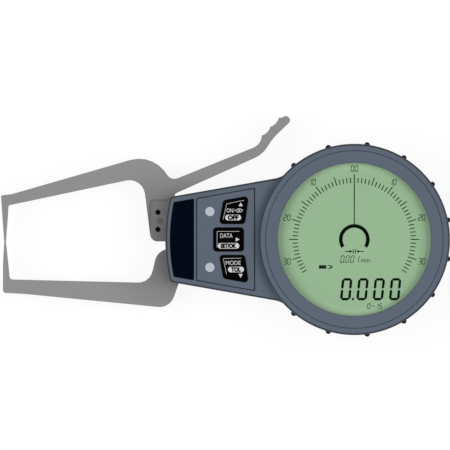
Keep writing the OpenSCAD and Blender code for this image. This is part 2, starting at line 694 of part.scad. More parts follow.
module lcd_frame() {
    z0 = z_main + main_board_t;
    color("#d8d8d4") difference() {
        union() {
            ring(lcd_r + slip, lcd_r + frame_w, z0, z_ledge - 0.1);
            ring(lcd_r - 1.6, lcd_r + frame_w - 0.5, z0, z_guide);
        }
        block([-link_half[0] - run, link_half[0] + run], [link_y - link_half[1] - run, link_y + 9],
            [z0 - 1, z_guide + eps]);
        block([-head_r, 0], [-strip_w / 2 - run, strip_w / 2 + run], [z0 - 1, z0 + strip_t + run]);
    }
}
module lcd_connector() {
    color("#7d5f88") block([-link_half[0], link_half[0]], [link_y - link_half[1], link_y + link_half[1]],
        [z_main + main_board_t, z_lcd]);
}
module main_board() {
    color("#1f6b3a") difference() {
        union() {
            disc(board_r, z_main, z_main + main_board_t);
            for (at = [[-9, 6, 4.5], [6, 9, 3], [10, -8, 2.5], [-8, -11, 2]])
                block([at[0] - at[2], at[0] + at[2]], [at[1] - at[2], at[1] + at[2]],
                    [z_main + main_board_t - eps, z_main + main_board_t + 0.7]);
        }
        block([-2 * head_r, -main_edge], [-head_r, head_r], [z_main - 1, z_guide]);
        for (at = housing_posts) disc(post_r + run, z_main - eps, z_guide, at);
        for (at = board_screws_at) screw_hole(fine_screw, main_board_t + 1, at,
            z_main + main_board_t);
    }
}
module board_screws() {
    color(steel) for (at = board_screws_at) screw(fine_screw, main_board_t + board_screw_l - 0.4, at,
        z_main + main_board_t);
}

// Batteries
module cell() {
    button = 1.2;
    rotate([-90, 0, 0]) {
        translate([0, 0, -cell_l / 2]) cylinder(d = cell_d, h = cell_l - button);
        cylinder(d = 3.8, h = cell_l / 2);
    }
}
module batteries() {
    color("#b08a3c") for (s = [0, 1]) rotate([0, 0, 180 * s]) translate([cell_x, 0, z_cell_mid]) cell();
}
module battery_contacts() {
    t = contact_sheet;
    half = contact_size / 2;
    color(steel) for (sx = [-1, 1], sy = [0, 1]) mirror([0, sy, 0]) translate([sx * cell_x, 0, z_cell_mid]) {
        block([-half[0], half[0]], [box_half[1] - t, box_half[1]], [-half[1], half[1]]);
        translate([0, box_half[1] - t / 2, 0]) rotate([90, 0, 0])
            cylinder(d1 = contact_cone[0], d2 = contact_cone[1], h = contact_room - t / 2 - 0.1);
    }
}
module battery_door() {
    color(body_grey) difference() {
        union() {
            prism(box_pts(door_half - [slip, slip], door_r), 0, door_t);
            for (s = [-1, 1]) block([1 - box_half[0], box_half[0] - 1], [s * 12 - 1, s * 12 + 1],
                [door_t - eps, z_cell - 0.1]);
        }
        for (s = [-1, 1]) {
            disc(door_screw[1] / 2 + slip, -eps, door_screw[2] + slip, [0, s * door_screw_y]);
            disc(door_screw[0] / 2 + slip, 0, door_t + 1, [0, s * door_screw_y]);
        }
    }
}
module door_seal() {
    color("#141414") difference() {
        prism(box_pts(door_half - [0.2, 0.2], door_r), door_t, z_seat);
        prism(box_pts(box_half + [0.2, 0.2], 1), door_t - eps, z_seat + eps);
        for (s = [-1, 1]) disc(door_screw[0] / 2 + slip, 0, z_seat + eps, [0, s * door_screw_y]);
    }
}
module door_screws() {
    color(steel) for (s = [-1, 1]) mirror([0, 0, 1])
        screw(door_screw, z_seat + seat_t + 2.6, [0, s * door_screw_y], 0);
}

// Chassis with the fixed arm
module chassis() {
    color("#9aa0a3") difference() {
        union() {
            intersection() {
                at_end() prism(panel_outline(0, chassis_end, 0.2 - band_margin + wall_t, 1.5),
                    wall_t, z_chassis);
                disc(neck_l - wall_t - run, 0, z_chassis + 1);
            }
            at_end() {
                intersection() {
                    prism(fixed_arm_outline, z_chassis - eps, z_arm);
                    prism(panel_outline(wall_t + 2, root_l + 2, root_gap + wall_t - band_margin, 0),
                        0, z_arm + 1);
                }
                for (at = pillars) disc(pillar_r, z_chassis - eps, z_bridge, at);
                disc(spring_pin_r, z_chassis - eps, z_coil + wire_d / 2 + 0.3, spring_post_at);
            }
        }
        at_end() {
            disc(relief_r + 0.5, z_chassis, z_arm + eps, pivot);
            disc(bearing_d / 2 + seat, z_chassis - bearing_t, z_chassis + eps, pivot);
            disc(bearing_d / 2 - 0.6, wall_t - eps, z_chassis, pivot);
            disc(stop_r + slip, z_chassis - 2, z_chassis + eps, stop_at);
            for (at = pillars) disc(small_screw[0] / 2 + slip, z_chassis, z_bridge + eps, at);
            for (at = fixed_screws_at) disc(small_screw[0] / 2 + slip, wall_t + 1, z_arm + eps, at);
            for (at = fixed_dowels_at) disc(1 + slip, z_chassis, z_arm + eps, at);
            for (at = chassis_screws_at) disc(small_screw[0] / 2 + slip, wall_t - eps, z_chassis - 0.3, at);
        }
    }
}
module chassis_screws() {
    color(steel) at_end() for (at = chassis_screws_at)
        mirror([0, 0, 1]) screw(small_screw, z_chassis - 0.5, at, 0);
}
module fixed_arm() {
    color(arm_grey) at_end() difference() {
        prism(fixed_arm_outline, z_arm, z_arm_top);
        disc(relief_r, z_arm - eps, z_arm_top + eps, pivot);
        for (at = fixed_screws_at) screw_hole(small_screw, arm_t + 1, at, z_arm_top);
        for (at = fixed_dowels_at) disc(1 + slip, z_arm - eps, z_arm_top + eps, at);
    }
}
module fixed_arm_screws() {
    color(steel) at_end() for (at = fixed_screws_at)
        screw(small_screw, arm_t + spring_room + chassis_t - 1.2, at, z_arm_top);
}
module fixed_arm_dowels() {
    color(steel) at_end() for (at = fixed_dowels_at) disc(1, z_chassis, z_arm_top - 0.5, at);
}

// Bearings
module bearing_bridge() {
    color("#9aa0a3") at_end() difference() {
        translate([0, 0, z_bridge]) linear_extrude(bridge_t) hull() {
            translate(pivot) circle(bridge_pad_r, $fn = 48);
            for (at = pillars) translate(at) circle(pillar_r + 0.4, $fn = 32);
        }
        disc(bearing_d / 2 + seat, z_bridge - eps, z_bridge + bearing_t, pivot);
        disc(bearing_d / 2 - 0.6, z_bridge, z_bridge + bridge_t + eps, pivot);
        for (at = pillars) screw_hole(small_screw, bridge_t + 1, at, z_bridge + bridge_t);
    }
}
module bridge_screws() {
    color(steel) at_end() for (at = pillars)
        screw(small_screw, bridge_t + bridge_screw_in, at, z_bridge + bridge_t);
}
module race_ring(r_in, r_out) {
    at_end() for (z = bearing_z) translate([pivot[0], pivot[1], z]) difference() {
        ring(r_in, r_out, 0, bearing_t);
        translate([0, 0, bearing_t / 2]) rotate_extrude() translate([ball_orbit, 0]) circle(ball_r + 0.03);
    }
}
module bearing_outer_rings() { color(steel) race_ring(bearing_d / 2 - ring_w, bearing_d / 2); }
module bearing_inner_rings() { color(steel) race_ring(shaft_d / 2 + seat, shaft_d / 2 + ring_w); }
module bearing_balls() {
    balls = 7;
    color("#d0d2d4") at_end() for (z = bearing_z, i = [0:balls - 1])
        translate([pivot[0], pivot[1], z + bearing_t / 2] + [for (c = on(ball_orbit, 360 * i / balls)) c, 0])
            sphere(ball_r, $fn = 32);
}
module stop_pin() { color(steel) at_end() disc(stop_r, z_chassis - 2, z_lap - 0.2, stop_at); }
module encoder_head() {
    color("#25282c") at_end() translate(pivot) difference() {
        prism(sector_pts(tail_r + head_gap, sector_r + 1, -4, 16), z_chassis, z_lap - 0.4);
        prism(sector_pts(tail_r + 2, sector_r - 0.5, 0, 12), z_lap - 0.9, z_lap);
    }
}

// Spring: a tube swept along its path
function tube_ring(p, dir, r, n) =
    let(side = unit(cross(dir, [0, 0, 1])), up = cross(side, dir))
    [for (k = [0:n - 1]) p + r * (cos(360 * k / n) * side + sin(360 * k / n) * up)];
module tube(path, r, n = 6) {
    last = len(path) - 1;
    dirs = [for (i = [0:last]) unit(path[min(i + 1, last)] - path[max(i - 1, 0)])];
    polyhedron([for (i = [0:last]) each tube_ring(path[i], dirs[i], r, n)],
        concat([[for (k = [0:n - 1]) k]], [[for (k = [n - 1:-1:0]) last * n + k]],
            [for (i = [0:last - 1], k = [0:n - 1]) each [
                [i * n + k, (i + 1) * n + (k + 1) % n, i * n + (k + 1) % n],
                [i * n + k, (i + 1) * n + k, (i + 1) * n + (k + 1) % n]]]));
}
module closing_spring() {
    steps = ceil(20 * coil_turns);
    rise = coil_pitch * coil_turns;
    coil = [for (k = [0:steps]) let(a = coil_from + (coil_to - coil_from) * k / steps)
        [coil_r * cos(a), coil_r * sin(a), z_coil + rise * k / steps] + [pivot[0], pivot[1], 0]];
    start = [chassis_leg_end[0], chassis_leg_end[1], z_coil];
    end = [carrier_leg_end[0], carrier_leg_end[1], z_coil + rise];
    color("#c8cacc") at_end() tube(concat([start], coil, [end]), wire_d / 2);
}

// What swings with the moving arm
module moving_arm() {
    color(arm_grey) at_end() difference() {
        prism(moving_arm_outline, z_arm, z_arm_top);
        prism(rounded([[lap_side_x, -4, 0], [8, -4, 0], [8, lap_top_y, 0], [lap_side_x, lap_top_y, 1.5]]),
            z_lap + lap_t, z_arm_top + 1);
        block([tongue_x - slip, 6], [tongue_y[0] - slip, tongue_y[1] + slip], [z_arm - 1, z_lap]);
        for (at = arm_screws_at) screw_hole(fine_screw, 5, at, z_lap + lap_t);
        disc(arm_dowel_d / 2 + seat, z_arm - 1, z_arm_top, arm_dowel_at);
    }
}
module arm_carrier() {
    shoulder_r = shaft_d / 2 + ring_w * 0.9;
    color("#8a9094") at_end() difference() {
        union() {
            prism(rounded([[tongue_x, tongue_y[0], 0.4], [lap_end_x + 0.3, tongue_y[0], 0],
                [pivot[0] - 3.2, -5, 0],
                [pivot[0] + 3.6, 4.6, 0], [9, 9.6, 1], [2.4, tongue_y[1], 1], [tongue_x, tongue_y[1], 0.4]]),
                z_arm, z_lap);
            disc(hub_plate_r, z_arm, z_lap, pivot);
            translate(pivot) prism(concat([[0, 0]], arc_pts(tail_r, tail_a[0], tail_a[1])), z_arm, z_lap);
            disc(hub_r, z_chassis + shoulder_h, z_bridge - shoulder_h, pivot);
            disc(shoulder_r, z_chassis, z_bridge, pivot);
        }
        disc(shaft_d / 2 + seat, 0, neck_h, pivot);
        for (at = arm_screws_at) disc(fine_screw[0] / 2 + slip, z_arm - 1, z_lap + 1, at);
        disc(arm_dowel_d / 2 + seat, z_arm - 1, z_lap + 1, arm_dowel_at);
        disc(spring_pin_r + slip, z_arm - 1, z_arm + 1.2, spring_pin_at);
    }
}
module arm_screws() {
    color("#101010") at_end() for (at = arm_screws_at)
        screw(fine_screw, lap_t + tongue_t - 0.3, at, z_lap + lap_t);
}
module arm_dowel() {
    color("#777777") at_end() disc(arm_dowel_d / 2, z_arm + 0.2, z_lap + lap_t, arm_dowel_at);
}
module pivot_shaft() {
    z_clip = z_bridge + bearing_t;
    groove_r = shaft_d / 2 - 0.35;
    color(steel) at_end() translate(pivot) rotate_extrude() polygon([[0, wall_t + 0.15],
        [shaft_d / 2 + 0.4, wall_t + 0.15], [shaft_d / 2 + 0.4, z_chassis - bearing_t],
        [shaft_d / 2, z_chassis - bearing_t], [shaft_d / 2, z_clip], [groove_r, z_clip],
        [groove_r, z_clip + clip_t], [shaft_d / 2, z_clip + clip_t],
        [shaft_d / 2, z_clip + clip_t + 0.2], [0, z_clip + clip_t + 0.2]]);
}
module shaft_clip() {
    color("#3a3d40") at_end() difference() {
        ring(shaft_d / 2 - 0.35 + seat, shaft_d / 2 + 0.9,
            z_bridge + bearing_t, z_bridge + bearing_t + clip_t, pivot);
        translate(pivot) block([0, bearing_d], [-0.9, 0.9], [z_bridge, z_bridge + bearing_t + 1]);
    }
}
module encoder_sector() {
    color("#c9b27a") at_end() translate(pivot)
        prism(sector_pts(hub_plate_r + 0.4, sector_r, tail_a[0] - 1, tail_a[1] + 1), z_lap, z_lap + sector_t);
}
module spring_pin() { color(steel) at_end() disc(spring_pin_r, z_arm - 1.2, z_arm + 1.2, spring_pin_at); }

rear_shell();
front_shell();
shell_seal();
housing_screws();
chassis();
chassis_screws();
fixed_arm();
fixed_arm_screws();
fixed_arm_dowels();
bearing_bridge();
bridge_screws();
bearing_outer_rings();
bearing_balls();
stop_pin();
encoder_head();
closing_spring();
bezel_ring();
display_lens();
lens_seal();
lcd_panel();
light_guide();
lcd_frame();
lcd_connector();
main_board();
board_screws();
board_link();
key_board();
key_board_screws();
key_panel();
name_plate();
indicator_lenses();
indicator_leds();
power_dome();
data_dome();
mode_dome();
batteries();
battery_contacts();
battery_door();
door_seal();
door_screws();
grip_studs();
moving_arm();
arm_carrier();
arm_screws();
arm_dowel();
pivot_shaft();
bearing_inner_rings();
shaft_clip();
encoder_sector();
spring_pin();
power_key();
data_key();
mode_key();
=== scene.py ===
import json
import math

import bmesh
import bpy
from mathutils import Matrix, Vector

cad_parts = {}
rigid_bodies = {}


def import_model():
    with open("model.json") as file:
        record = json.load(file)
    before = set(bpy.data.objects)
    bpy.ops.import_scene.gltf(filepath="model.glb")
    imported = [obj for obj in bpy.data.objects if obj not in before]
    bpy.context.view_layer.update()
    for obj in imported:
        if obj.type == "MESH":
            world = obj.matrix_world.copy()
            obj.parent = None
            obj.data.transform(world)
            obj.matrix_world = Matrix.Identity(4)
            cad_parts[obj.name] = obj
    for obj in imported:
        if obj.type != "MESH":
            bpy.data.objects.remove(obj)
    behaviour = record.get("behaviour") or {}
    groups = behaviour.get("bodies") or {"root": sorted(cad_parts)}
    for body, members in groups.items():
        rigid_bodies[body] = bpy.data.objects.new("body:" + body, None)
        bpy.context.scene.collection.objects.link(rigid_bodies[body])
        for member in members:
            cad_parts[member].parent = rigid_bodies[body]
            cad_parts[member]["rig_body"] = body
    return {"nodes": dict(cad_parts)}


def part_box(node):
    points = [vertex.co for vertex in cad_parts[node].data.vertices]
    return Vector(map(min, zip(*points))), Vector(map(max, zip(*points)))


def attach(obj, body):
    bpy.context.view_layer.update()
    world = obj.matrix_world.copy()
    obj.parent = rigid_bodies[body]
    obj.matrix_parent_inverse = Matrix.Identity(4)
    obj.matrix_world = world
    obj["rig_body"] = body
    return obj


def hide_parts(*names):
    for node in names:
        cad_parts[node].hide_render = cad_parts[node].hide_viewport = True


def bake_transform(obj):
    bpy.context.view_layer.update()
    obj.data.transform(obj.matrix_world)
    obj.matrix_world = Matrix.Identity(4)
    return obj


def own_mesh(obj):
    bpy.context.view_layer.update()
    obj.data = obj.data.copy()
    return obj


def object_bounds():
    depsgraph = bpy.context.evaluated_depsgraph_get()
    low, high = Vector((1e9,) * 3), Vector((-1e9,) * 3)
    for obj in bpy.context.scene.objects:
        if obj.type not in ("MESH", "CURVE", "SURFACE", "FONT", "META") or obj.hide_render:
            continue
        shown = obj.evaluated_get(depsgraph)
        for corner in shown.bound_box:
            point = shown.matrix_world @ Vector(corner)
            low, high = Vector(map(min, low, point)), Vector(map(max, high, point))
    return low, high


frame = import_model()
nodes = frame["nodes"]
cadLow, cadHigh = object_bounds()
mm = 0.001  # the frame is in metres, the sizes below in millimetres
print("frame loaded:", len(nodes), "nodes")


class Sock:
    # one socket of a node tree, so that maths on it reads as a plain expression
    def __init__(self, maker, socket):
        self.maker = maker
        self.socket = socket

    def __add__(self, other):
        return self.maker.math("ADD", self, other)

    def __radd__(self, other):
        return self.maker.math("ADD", other, self)

    def __sub__(self, other):
        return self.maker.math("SUBTRACT", self, other)

    def __rsub__(self, other):
        return self.maker.math("SUBTRACT", other, self)

    def __mul__(self, other):
        return self.maker.math("MULTIPLY", self, other)

    def __rmul__(self, other):
        return self.maker.math("MULTIPLY", other, self)


class Maker:
    # adds nodes to one tree: settings first, then the values or links of the sockets
    def __init__(self, tree):
        self.tree = tree

    def add(self, kind, settings=None, values=None, out=0):
        node = self.tree.nodes.new(kind)
        for key, value in (settings or {}).items():
            if key == "stops":
                fillRamp(node.color_ramp, value)
            else:
                setattr(node, key, value)
        for key, value in (values or {}).items():
            self.feed(node.inputs[key], value)
        return Sock(self, node.outputs[out])

    def math(self, operation, *values):
        return self.add("ShaderNodeMath", {"operation": operation}, dict(enumerate(values)))

    def feed(self, socket, value):
        if isinstance(value, Sock):
            self.tree.links.new(value.socket, socket)
        else:
            socket.default_value = value


def fillRamp(ramp, stops):
    while len(ramp.elements) < len(stops):
        ramp.elements.new(0.5)
    for element, (place, colour) in zip(ramp.elements, stops):
        element.position = place
        element.color = colour


def linear(r, g, b):
    # screen colour, 0 to 255, as the linear colour a shader takes
    def one(c):
        c /= 255
        return c / 12.92 if c <= 0.04045 else ((c + 0.055) / 1.055) ** 2.4
    return (one(r), one(g), one(b), 1)


def shade(colour, k):
    return tuple(c * k for c in colour[:3]) + (1,)


def newMaterial(name):
    material = bpy.data.materials.new(name)
    material.use_nodes = True
    material.node_tree.nodes.clear()
    return material, Maker(material.node_tree)


def closeMaterial(maker, shader):
    out = maker.tree.nodes.new("ShaderNodeOutputMaterial")
    maker.feed(out.inputs["Surface"], shader)


def surface(maker, values):
    closeMaterial(maker, maker.add("ShaderNodeBsdfPrincipled", None, values))


def objectCoords(maker):
    return maker.add("ShaderNodeTexCoord", out="Object")


def noise(maker, vector, size, detail=3.0, rough=0.55):
    # size is the width of one grain in millimetres
    return maker.add("ShaderNodeTexNoise", None, {
        "Vector": vector, "Scale": 1 / (size * mm), "Detail": detail, "Roughness": rough}, "Fac")


def mixColour(maker, factor, a, b):
    return maker.add("ShaderNodeMix", {"data_type": "RGBA"}, {0: factor, 6: a, 7: b}, 2)


def spreadColour(maker, factor, colour, spread):
    # the colour a little darker at 0 and a little lighter at 1
    return mixColour(maker, factor, shade(colour, 1 - spread), shade(colour, 1 + spread))


def stretched(maker, vector, scale):
    return maker.add("ShaderNodeMapping", None, {"Vector": vector, "Scale": scale})


def smoothRange(maker, value, start, end):
    # 0 at start, 1 at end, both in millimetres
    return maker.add("ShaderNodeMapRange", {"interpolation_type": "SMOOTHSTEP"}, {
        "Value": value, "From Min": start * mm, "From Max": end * mm})


def bump(maker, height, strength, depth):
    return maker.add("ShaderNodeBump", None, {"Strength": strength, "Distance": depth * mm, "Height": height})


def fromAxis(maker, at):
    # distance from the axis of the round head
    flat = maker.add("ShaderNodeVectorMath", {"operation": "MULTIPLY"}, {0: at, 1: (1, 1, 0)})
    return maker.add("ShaderNodeVectorMath", {"operation": "LENGTH"}, {0: flat}, "Value")


plasticLook = {"drift": 14, "driftDetail": 2.0, "grainShare": 0.35, "roughSwing": 0.1, "grainDepth": 0.03}


def mouldedPlastic(name, colour, rough=0.5, grain=0.35, relief=0.12, spread=0.05, sheen=0.3, edge=None):
    # moulded part: eroded fine grain, slow drift of tone, and painted shade darkening the colour where an outer
    # edge turns over
    look = plasticLook
    material, maker = newMaterial(name)
    at = objectCoords(maker)
    fine = noise(maker, at, grain)
    slow = noise(maker, at, look["drift"], look["driftDetail"])
    tone = spreadColour(maker, look["grainShare"] * fine + (1 - look["grainShare"]) * slow, colour, spread)
    if edge:
        # painted shade: darker where the normal tips away from straight up, outside the bezel's radius
        normal = maker.add("ShaderNodeTexCoord", out="Normal")
        upward = maker.add("ShaderNodeSeparateXYZ", None, {0: normal}, "Z")
        edgeShade = maker.add("ShaderNodeValToRGB", {"stops": edge["stops"]}, {"Fac": upward})
        outside = maker.math("GREATER_THAN", fromAxis(maker, at), edge["outside"] * mm)
        tone = mixColour(maker, edge["share"] * edgeShade * outside, tone, shade(colour, edge["shade"]))
    surface(maker, {
        "Base Color": tone, "Roughness": rough - look["roughSwing"] / 2 + look["roughSwing"] * fine,
        "Specular IOR Level": sheen, "Normal": bump(maker, fine, relief, look["grainDepth"])})
    return material


metalLook = {"grain": 0.12, "grainDetail": 4.0, "grainShare": 0.5, "drift": 22, "driftDetail": 2.0,
             "roughSwing": 0.12, "relief": 0.06, "grainDepth": 0.02}


def satinMetal(name, colour, rough=0.42, metallic=1.0, along=(1, 1, 1), spread=0.05, root=None):
    # blasted or ground metal: fine grain, faint streaks, slow drift of tone, and painted shade darker at the root
    # next to the housing
    look = metalLook
    material, maker = newMaterial(name)
    at = objectCoords(maker)
    fine = noise(maker, stretched(maker, at, along), look["grain"], look["grainDetail"])
    slow = noise(maker, at, look["drift"], look["driftDetail"])
    tone = spreadColour(maker, look["grainShare"] * fine + (1 - look["grainShare"]) * slow, colour, spread)
    if root:
        # painted shade: the colour darkens towards a point at the housing's end, standing in for the housing's
        # shadow
        reach = maker.add("ShaderNodeVectorMath", {"operation": "DISTANCE"},
                          {0: at, 1: Vector(root["at"]) * mm}, "Value")
        near = smoothRange(maker, reach, root["far"], root["near"])
        tone = mixColour(maker, near, tone, shade(colour, root["shade"]))
    surface(maker, {
        "Base Color": tone, "Metallic": metallic,
        "Roughness": rough - look["roughSwing"] / 2 + look["roughSwing"] * fine,
        "Normal": bump(maker, fine, look["relief"], look["grainDepth"])})
    return material


rubberLook = {"grain": 0.2, "dust": 3.5, "dustShade": 1.8, "roughSwing": 0.16, "sheen": 0.25, "relief": 0.12,
              "grainDepth": 0.03}


def softRubber(name, colour, rough=0.75):
    look = rubberLook
    material, maker = newMaterial(name)
    at = objectCoords(maker)
    fine = noise(maker, at, look["grain"])
    dust = noise(maker, at, look["dust"])
    surface(maker, {
        "Base Color": mixColour(maker, dust * fine, colour, shade(colour, look["dustShade"])),
        "Roughness": rough - look["roughSwing"] / 2 + look["roughSwing"] * fine,
        "Specular IOR Level": look["sheen"], "Normal": bump(maker, fine, look["relief"], look["grainDepth"])})
    return material


glossLook = {"drift": 9, "spread": 0.15, "wipe": 0.6, "wipeDetail": 4.0, "wipeAlong": (0.2, 1, 1), "rough": 0.16,
             "roughSwing": 0.1}


def glossPlate(name, colour, sheen=0.2):
    look = glossLook
    material, maker = newMaterial(name)
    at = objectCoords(maker)
    slow = noise(maker, at, look["drift"])
    wipe = noise(maker, stretched(maker, at, look["wipeAlong"]), look["wipe"], look["wipeDetail"])
    surface(maker, {
        "Base Color": spreadColour(maker, slow, colour, look["spread"]),
        "Roughness": look["rough"] + look["roughSwing"] * wipe, "Specular IOR Level": sheen})
    return material


# the edge colour is painted light: paler at the bezel to offset the shade of the bezel on the recessed panel
displayLook = {"green": linear(152, 184, 147), "edge": linear(163, 195, 158), "evenTo": 24.0, "edgeAt": 28.0,
               "grain": 0.18, "spread": 0.03, "rough": 0.55, "roughSwing": 0.1, "sheen": 0.1}


def displayFace(name, look):
    # reflective green panel: even in the middle, painted light making it paler at the bezel to offset the bezel's
    # shade, faint reflector grain
    material, maker = newMaterial(name)
    at = objectCoords(maker)
    # painted light: where the panel is painted paler, next to the bezel
    edge = smoothRange(maker, fromAxis(maker, at), look["evenTo"], look["edgeAt"])
    grain = noise(maker, at, look["grain"])
    green = spreadColour(maker, grain, look["green"], look["spread"])
    surface(maker, {
        "Base Color": mixColour(maker, edge, green, look["edge"]),
        "Roughness": look["rough"] + look["roughSwing"] * grain, "Specular IOR Level": look["sheen"]})
    return material


lensLook = {"tint": (0.02, 0.03, 0.025, 1), "haze": 6, "rough": 0.04, "roughSwing": 0.04, "alpha": 0.03}


def clearLens(name, look):
    material, maker = newMaterial(name)
    haze = noise(maker, objectCoords(maker), look["haze"])
    surface(maker, {
        "Base Color": look["tint"], "Alpha": look["alpha"],
        "Roughness": look["rough"] + look["roughSwing"] * haze})
    return material


milkLook = {"cloud": 1.2, "spread": 0.06, "rough": 0.3, "roughSwing": 0.1, "ior": 1.49}


def milky(name, colour):
    look = milkLook
    material, maker = newMaterial(name)
    cloud = noise(maker, objectCoords(maker), look["cloud"])
    surface(maker, {
        "Base Color": spreadColour(maker, cloud, colour, look["spread"]),
        "Roughness": look["rough"] + look["roughSwing"] * cloud, "IOR": look["ior"]})
    return material


boardLook = {"green": linear(28, 92, 52), "pitch": 2.4, "patchShade": 0.8, "trackShade": 1.7, "trackWidth": 0.02,
             "cloud": 5, "rough": 0.3, "roughSwing": 0.15}


def circuitBoard(name, look):
    material, maker = newMaterial(name)
    at = objectCoords(maker)
    tracks = maker.add("ShaderNodeTexBrick", {"offset": 0.5}, {
        "Vector": at, "Scale": 1 / (look["pitch"] * mm), "Color1": look["green"],
        "Color2": shade(look["green"], look["patchShade"]), "Mortar": shade(look["green"], look["trackShade"]),
        "Mortar Size": look["trackWidth"]})
    cloud = noise(maker, at, look["cloud"])
    surface(maker, {"Base Color": tracks, "Roughness": look["rough"] + look["roughSwing"] * cloud})
    return material


cellLook = {"sleeve": linear(38, 38, 40), "metal": linear(196, 160, 92), "bandFrom": 12.0, "scuff": 1.5,
            "rough": 0.3, "roughSwing": 0.15}


def wrappedCell(name, look):
    # printed sleeve with a bare band at the ends
    material, maker = newMaterial(name)
    at = objectCoords(maker)
    y = maker.add("ShaderNodeSeparateXYZ", None, {0: at}, "Y")
    band = maker.math("GREATER_THAN", maker.math("ABSOLUTE", y), look["bandFrom"] * mm)
    scuff = noise(maker, at, look["scuff"])
    surface(maker, {
        "Base Color": mixColour(maker, band, look["sleeve"], look["metal"]), "Metallic": band,
        "Roughness": look["rough"] + look["roughSwing"] * scuff})
    return material


# painted shade along the outer edges of the housing: stops are the strength of the painted shade for the upward
# part of the normal
paintedEdgeShade = {"stops": [(0.45, (0, 0, 0, 1)), (0.62, (1, 1, 1, 1)), (0.965, (1, 1, 1, 1)), (0.998, (0, 0, 0, 1))],
            "outside": 33.2, "share": 0.9, "shade": 0.15}
# painted shade on the arms next to the housing, in millimetres
armRootShade = {"at": (-69.4, 0, 11), "near": 8, "far": 30, "shade": 0.7}
inkLook = {"rough": 0.6, "grain": 0.2, "relief": 0.0}

slate = mouldedPlastic("slateHousing", linear(82, 91, 104), spread=0.13, edge=paintedEdgeShade)
slatePanel = mouldedPlastic("slatePanel", linear(82, 91, 104), rough=0.46, grain=0.25, relief=0.08, spread=0.13)
keyBlack = mouldedPlastic("keyBlack", linear(4, 4, 5), grain=0.3, relief=0.1, sheen=0.01)
studRubber = softRubber("studRubber", linear(6, 6, 7))
sealRubber = softRubber("sealRubber", linear(20, 20, 21), rough=0.8)
armSatin = satinMetal("armSatin", linear(141, 141, 141), rough=0.52, metallic=0.6, spread=0.11, root=armRootShade)
chassisMetal = satinMetal("machinedChassis", linear(168, 171, 173), rough=0.36, along=(1, 8, 1))
plainSteel = satinMetal("groundSteel", linear(176, 178, 181), rough=0.28, along=(6, 1, 1))
screwSteel = satinMetal("screwSteel", linear(150, 152, 155), rough=0.34)
blackSteel = mouldedPlastic("blackedScrew", linear(4, 4, 4), rough=0.45, grain=0.12, relief=0.06, sheen=0.05)
dowelSteel = satinMetal("dowelSteel", linear(98, 97, 95), rough=0.5, metallic=0.5)
springSteel = satinMetal("springWire", linear(190, 192, 194), rough=0.25, along=(1, 1, 6))
plateNavy = glossPlate("plateNavy", linear(3, 9, 20), sheen=0.005)
displayGreen = displayFace("displayGreen", displayLook)
segmentDark = mouldedPlastic("segmentDark", linear(0, 10, 0), sheen=0.0, **inkLook)
segmentFine = mouldedPlastic("segmentFine", linear(2, 26, 2), sheen=0.0, **inkLook)
legendWhite = mouldedPlastic("legendWhite", linear(197, 200, 198), spread=0.03, **inkLook)
indicatorMilk = milky("indicatorMilk", linear(175, 181, 186))
guideMilk = milky("guideMilk", linear(232, 236, 230))
lensClear = clearLens("lensClear", lensLook)
boardGreen = circuitBoard("boardGreen", boardLook)
filmAmber = glossPlate("filmAmber", linear(178, 120, 46))
connectorViolet = softRubber("connectorViolet", linear(120, 96, 132))
sensorBlack = mouldedPlastic("sensorBlack", linear(36, 38, 42), rough=0.45)
scaleGold = glossPlate("scaleGold", linear(190, 168, 112))
ledYellow = milky("ledYellow", linear(226, 218, 176))
cellSleeve = wrappedCell("cellSleeve", cellLook)
print("finishes made:", len(bpy.data.materials))

nodeFinish = {
    slate: ["rear_shell", "front_shell", "bezel_ring", "battery_door"],
    slatePanel: ["key_panel"],
    keyBlack: ["power_key", "data_key", "mode_key"],
    studRubber: ["grip_studs"],
    sealRubber: ["shell_seal", "lens_seal", "door_seal"],
    armSatin: ["fixed_arm", "moving_arm"],
    chassisMetal: ["chassis", "bearing_bridge", "arm_carrier"],
    plainSteel: ["pivot_shaft", "bearing_outer_rings", "bearing_inner_rings", "bearing_balls", "stop_pin",
                 "spring_pin", "fixed_arm_dowels", "shaft_clip"],
    dowelSteel: ["arm_dowel"],
    screwSteel: ["housing_screws", "chassis_screws", "fixed_arm_screws", "bridge_screws", "board_screws",
                 "key_board_screws", "door_screws"],
    blackSteel: ["arm_screws"],
    springSteel: ["closing_spring", "battery_contacts", "power_dome", "data_dome", "mode_dome"],
    plateNavy: ["name_plate"],
    displayGreen: ["lcd_panel"],
    lensClear: ["display_lens"],
    guideMilk: ["light_guide", "lcd_frame"],
    indicatorMilk: ["indicator_lenses"],
    ledYellow: ["indicator_leds"],
    boardGreen: ["main_board", "key_board"],
    filmAmber: ["board_link"],
    connectorViolet: ["lcd_connector"],
    sensorBlack: ["encoder_head"],
    scaleGold: ["encoder_sector"],
    cellSleeve: ["batteries"],
}
finishOf = {}
for material, names in nodeFinish.items():
    for name in names:
        finishOf[name] = material
        nodes[name].data.materials.clear()
        nodes[name].data.materials.append(material)
bodyOf = {name: nodes[name]["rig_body"] for name in nodes}


def newObject(name, data, material=None):
    thing = bpy.data.objects.new(name, data)
    bpy.context.scene.collection.objects.link(thing)
    if material:
        data.materials.clear()
        data.materials.append(material)
    return thing


def toMesh(bm, name):
    mesh = bpy.data.meshes.new(name)
    bm.to_mesh(mesh)
    bm.free()
    return mesh


# the gap in metres, the angles in degrees
meshCare = {"mergeGap": 1e-7, "flatAngle": 0.4, "slitAngle": 165, "smoothAngle": 34}


def joinedNode(name):
    # a node's loose triangles, joined up
    bm = bmesh.new()
    bm.from_mesh(nodes[name].data)
    bmesh.ops.remove_doubles(bm, verts=bm.verts, dist=meshCare["mergeGap"])
    return bm


